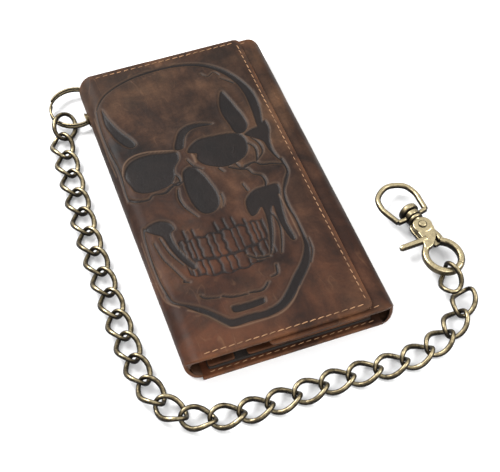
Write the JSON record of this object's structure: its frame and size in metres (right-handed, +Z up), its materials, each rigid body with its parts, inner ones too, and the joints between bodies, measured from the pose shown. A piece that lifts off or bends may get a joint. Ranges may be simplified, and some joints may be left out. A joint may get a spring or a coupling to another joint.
{
  "type": "chain wallet",
  "caption": "Long folded leather wallet with an embossed cover, inner flap, card and zip pockets, and a curb chain from a split ring to a trigger snap hook on a swivel eye",
  "frame": {"origin": "centre of the flat underside of the back panel", "axes": "+Y along the wallet to the end that carries the ring, +X to the fold of the inner flap, +Z up through the closed wallet"},
  "size_m": [0.1743, 0.2242, 0.0154],
  "materials": {
    "cover_leather": "oiled, pulled-up brown leather with darker embossing and burnished edges",
    "pocket_leather": "thin oiled brown leather",
    "lining": "woven dark brown lining",
    "zip_tape": "woven zip tape",
    "zip_metal": "antique brass, rubbed bright on top",
    "antique_brass": "antique brass: dark in the recesses, rubbed bright on the high spots",
    "spring_steel": "spring wire"
  },
  "bodies": {
    "wallet_body": {"back_panel": "cover_leather", "left_spine": "cover_leather", "right_spine": "cover_leather", "note_pocket_lining": "lining", "coin_pocket_edge": "pocket_leather", "coin_pocket_panel": "pocket_leather", "zip_tape_left": "zip_tape", "zip_tape_right": "zip_tape", "zip_teeth_left": "zip_metal", "zip_teeth_right": "zip_metal", "zip_stop_near": "zip_metal", "zip_stop_far": "zip_metal", "card_pocket_1": "pocket_leather", "card_pocket_2": "pocket_leather", "card_pocket_3": "pocket_leather", "eyelet": "antique_brass"},
    "cover": {"front_cover": "cover_leather", "cover_pocket": "pocket_leather"},
    "flap": {"inner_flap": "cover_leather"},
    "slider": {"zip_slider": "zip_metal"},
    "puller": {"zip_puller": "zip_metal"},
    "ring": {"split_ring": "antique_brass"},
    "jump_link": {"jump_link": "antique_brass"},
    "chain_link_01": {"chain_link_01": "antique_brass"},
    "chain_link_02": {"chain_link_02": "antique_brass"},
    "chain_link_03": {"chain_link_03": "antique_brass"},
    "chain_link_04": {"chain_link_04": "antique_brass"},
    "chain_link_05": {"chain_link_05": "antique_brass"},
    "chain_link_06": {"chain_link_06": "antique_brass"},
    "chain_link_07": {"chain_link_07": "antique_brass"},
    "chain_link_08": {"chain_link_08": "antique_brass"},
    "chain_link_09": {"chain_link_09": "antique_brass"},
    "chain_link_10": {"chain_link_10": "antique_brass"},
    "chain_link_11": {"chain_link_11": "antique_brass"},
    "chain_link_12": {"chain_link_12": "antique_brass"},
    "chain_link_13": {"chain_link_13": "antique_brass"},
    "chain_link_14": {"chain_link_14": "antique_brass"},
    "chain_link_15": {"chain_link_15": "antique_brass"},
    "chain_link_16": {"chain_link_16": "antique_brass"},
    "chain_link_17": {"chain_link_17": "antique_brass"},
    "chain_link_18": {"chain_link_18": "antique_brass"},
    "chain_link_19": {"chain_link_19": "antique_brass"},
    "chain_link_20": {"chain_link_20": "antique_brass"},
    "chain_link_21": {"chain_link_21": "antique_brass"},
    "chain_link_22": {"chain_link_22": "antique_brass"},
    "chain_link_23": {"chain_link_23": "antique_brass"},
    "chain_link_24": {"chain_link_24": "antique_brass"},
    "chain_link_25": {"chain_link_25": "antique_brass"},
    "chain_link_26": {"chain_link_26": "antique_brass"},
    "chain_link_27": {"chain_link_27": "antique_brass"},
    "hook": {"hook_body": "antique_brass", "gate_rivet": "antique_brass", "gate_spring": "spring_steel", "swivel_post": "antique_brass"},
    "gate": {"gate": "antique_brass"},
    "eye": {"swivel_eye": "antique_brass"}
  },
  "joints": [
    {"name": "cover_hinge", "type": "hinge", "parent": "wallet_body", "child": "cover", "pos_m": [-0.044, 0, 0.0156], "axis": [0, -1, 0], "range_deg": [0, 180]},
    {"name": "flap_hinge", "type": "hinge", "parent": "wallet_body", "child": "flap", "pos_m": [0.0452, 0, 0.0133], "axis": [0, 1, 0], "range_deg": [0, 99]},
    {"name": "zip_slide", "type": "slide", "parent": "wallet_body", "child": "slider", "axis": [0, 1, 0], "range_m": [-0.142, 0]},
    {"name": "puller_hinge", "type": "hinge", "parent": "slider", "child": "puller", "pos_m": [-0.024, 0.0722, 0.008], "axis": [-1, 0, 0], "range_deg": [0, 8]},
    {"name": "gate_hinge", "type": "hinge", "parent": "hook", "child": "gate", "pos_m": [0.0836, -0.0528, 0.0057], "axis": [0, 0, 1], "range_deg": [-16, 0], "stiffness_Nm_per_rad": 0.02},
    {"name": "eye_swivel", "type": "hinge", "parent": "hook", "child": "eye", "pos_m": [0.08194, -0.04497, 0.0057], "axis": [-0.2079, 0.9781, 0], "continuous": true},
    {"name": "ring_hinge", "type": "hinge", "parent": "wallet_body", "child": "ring", "pos_m": [-0.0497, 0.0856, 0.0046], "axis": [0, 1, 0], "range_deg": [-20, 3]},
    {"name": "jump_link_hinge", "type": "hinge", "parent": "ring", "child": "jump_link", "pos_m": [-0.0642, 0.0756, 0.0046], "axis": [-0.8387, 0.5446, 0], "range_deg": [-12, 12]},
    {"name": "link_01_hinge", "type": "hinge", "parent": "jump_link", "child": "chain_link_01", "pos_m": [-0.0665, 0.0681, 0.00405], "axis": [0.9317, -0.3632, 0], "range_deg": [-20, 20]},
    {"name": "link_02_hinge", "type": "hinge", "parent": "chain_link_01", "child": "chain_link_02", "pos_m": [-0.06918, 0.05567, 0.0033], "axis": [0.9983, -0.0587, 0], "range_deg": [-25, 25]},
    {"name": "link_03_hinge", "type": "hinge", "parent": "chain_link_02", "child": "chain_link_03", "pos_m": [-0.06993, 0.04261, 0.0033], "axis": [-0.9984, 0.0557, 0], "range_deg": [-25, 25]},
    {"name": "link_04_hinge", "type": "hinge", "parent": "chain_link_03", "child": "chain_link_04", "pos_m": [-0.07062, 0.02955, 0.0033], "axis": [-0.9988, 0.0491, 0], "range_deg": [-25, 25]},
    {"name": "link_05_hinge", "type": "hinge", "parent": "chain_link_04", "child": "chain_link_05", "pos_m": [-0.07122, 0.01648, 0.0033], "axis": [0.9991, -0.0431, 0], "range_deg": [-25, 25]},
    {"name": "link_06_hinge", "type": "hinge", "parent": "chain_link_05", "child": "chain_link_06", "pos_m": [-0.07168, 0.0034, 0.0033], "axis": [0.9996, -0.0274, 0], "range_deg": [-25, 25]},
    {"name": "link_07_hinge", "type": "hinge", "parent": "chain_link_06", "child": "chain_link_07", "pos_m": [-0.07192, -0.00968, 0.0033], "axis": [-1, 0.0089, 0], "range_deg": [-25, 25]},
    {"name": "link_08_hinge", "type": "hinge", "parent": "chain_link_07", "child": "chain_link_08", "pos_m": [-0.07196, -0.02276, 0.0033], "axis": [-1, -0.0025, 0], "range_deg": [-25, 25]},
    {"name": "link_09_hinge", "type": "hinge", "parent": "chain_link_08", "child": "chain_link_09", "pos_m": [-0.0719, -0.03584, 0.0033], "axis": [1, 0.0063, 0], "range_deg": [-25, 25]},
    {"name": "link_10_hinge", "type": "hinge", "parent": "chain_link_09", "child": "chain_link_10", "pos_m": [-0.07181, -0.04893, 0.0033], "axis": [1, 0.008, 0], "range_deg": [-25, 25]},
    {"name": "link_11_hinge", "type": "hinge", "parent": "chain_link_10", "child": "chain_link_11", "pos_m": [-0.07157, -0.06201, 0.0033], "axis": [-0.9996, -0.029, 0], "range_deg": [-25, 25]},
    {"name": "link_12_hinge", "type": "hinge", "parent": "chain_link_11", "child": "chain_link_12", "pos_m": [-0.07095, -0.07508, 0.0033], "axis": [-0.9979, -0.0652, 0], "range_deg": [-25, 25]},
    {"name": "link_13_hinge", "type": "hinge", "parent": "chain_link_12", "child": "chain_link_13", "pos_m": [-0.06932, -0.08802, 0.0033], "axis": [0.9828, 0.1847, 0], "range_deg": [-12, 12]},
    {"name": "link_14_hinge", "type": "hinge", "parent": "chain_link_13", "child": "chain_link_14", "pos_m": [-0.0653, -0.10029, 0.0033], "axis": [0.9011, 0.4336, 0], "range_deg": [-12, 12]},
    {"name": "link_15_hinge", "type": "hinge", "parent": "chain_link_14", "child": "chain_link_15", "pos_m": [-0.05747, -0.11024, 0.0033], "axis": [-0.6333, -0.7739, 0], "range_deg": [-12, 12]},
    {"name": "link_16_hinge", "type": "hinge", "parent": "chain_link_15", "child": "chain_link_16", "pos_m": [-0.04614, -0.11604, 0.0033], "axis": [-0.2581, -0.9661, 0], "range_deg": [-12, 12]},
    {"name": "link_17_hinge", "type": "hinge", "parent": "chain_link_16", "child": "chain_link_17", "pos_m": [-0.03333, -0.11817, 0.0033], "axis": [0.0697, 0.9976, 0], "range_deg": [-25, 25]},
    {"name": "link_18_hinge", "type": "hinge", "parent": "chain_link_17", "child": "chain_link_18", "pos_m": [-0.02028, -0.11857, 0.0033], "axis": [-0.0094, 1, 0], "range_deg": [-25, 25]},
    {"name": "link_19_hinge", "type": "hinge", "parent": "chain_link_18", "child": "chain_link_19", "pos_m": [-0.0072, -0.11826, 0.0033], "axis": [0.0377, -0.9993, 0], "range_deg": [-25, 25]},
    {"name": "link_20_hinge", "type": "hinge", "parent": "chain_link_19", "child": "chain_link_20", "pos_m": [0.00588, -0.11781, 0.0033], "axis": [0.0303, -0.9995, 0], "range_deg": [-25, 25]},
    {"name": "link_21_hinge", "type": "hinge", "parent": "chain_link_20", "child": "chain_link_21", "pos_m": [0.01896, -0.11779, 0.0033], "axis": [0.0261, 0.9997, 0], "range_deg": [-25, 25]},
    {"name": "link_22_hinge", "type": "hinge", "parent": "chain_link_21", "child": "chain_link_22", "pos_m": [0.03203, -0.11822, 0.0033], "axis": [0.0404, 0.9992, 0], "range_deg": [-25, 25]},
    {"name": "link_23_hinge", "type": "hinge", "parent": "chain_link_22", "child": "chain_link_23", "pos_m": [0.04509, -0.1181, 0.0033], "axis": [0.0587, -0.9983, 0], "range_deg": [-25, 25]},
    {"name": "link_24_hinge", "type": "hinge", "parent": "chain_link_23", "child": "chain_link_24", "pos_m": [0.05792, -0.11605, 0.0033], "axis": [0.256, -0.9667, 0], "range_deg": [-25, 25]},
    {"name": "link_25_hinge", "type": "hinge", "parent": "chain_link_24", "child": "chain_link_25", "pos_m": [0.06981, -0.11103, 0.0033], "axis": [-0.5136, 0.858, 0], "range_deg": [-25, 25]},
    {"name": "link_26_hinge", "type": "hinge", "parent": "chain_link_25", "child": "chain_link_26", "pos_m": [0.07991, -0.10294, 0.0033], "axis": [-0.7257, 0.688, 0], "range_deg": [-12, 12]},
    {"name": "link_27_hinge", "type": "hinge", "parent": "chain_link_26", "child": "chain_link_27", "pos_m": [0.0838, -0.09175, 0.00455], "axis": [0.9957, 0.0926, 0], "range_deg": [-15, 15]},
    {"name": "hook_hinge", "type": "hinge", "parent": "chain_link_27", "child": "hook", "pos_m": [0.0857, -0.0819, 0.0057], "axis": [0, 0, 1], "range_deg": [-12, 12]}
  ],
  "couplings": [
    {"joint": "flap_hinge", "follows": "cover_hinge", "ratio": 0.55}
  ]
}
